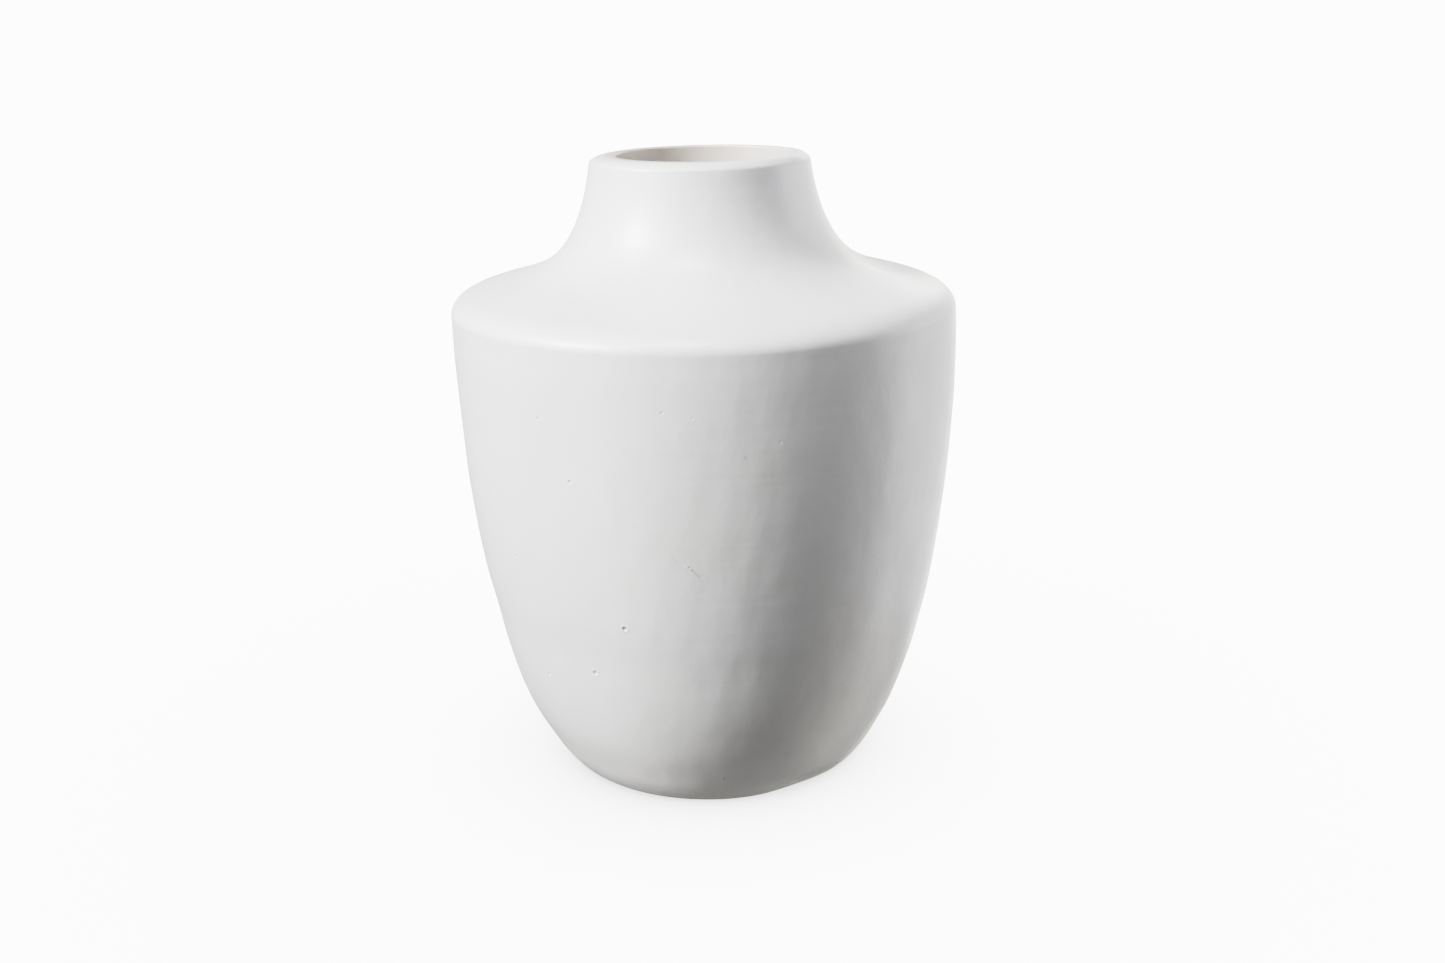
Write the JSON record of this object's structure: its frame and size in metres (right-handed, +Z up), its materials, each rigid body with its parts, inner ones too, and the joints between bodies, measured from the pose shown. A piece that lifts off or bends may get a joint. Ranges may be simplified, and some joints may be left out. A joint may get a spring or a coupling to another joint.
{
  "type": "bud vase",
  "caption": "Bud vase turned from white clay with a satin glaze: a narrow upright neck, a sloping shoulder with a rounded edge, and a wall that curves in to a flat foot ring.",
  "frame": {"origin": "middle of the foot, on the surface that the vase stands on", "axes": "+Z up along the axis of turning, out of the mouth; X and Y are any two directions across it"},
  "size_m": [0.1, 0.1, 0.124],
  "materials": {
    "fired_clay": "matte",
    "satin_glaze": "satin",
    "liner_glaze": "gloss"
  },
  "bodies": {
    "root": {"clay_body": "fired_clay", "outer_glaze": "satin_glaze", "liner_glaze": "liner_glaze"}
  },
  "joints": []
}
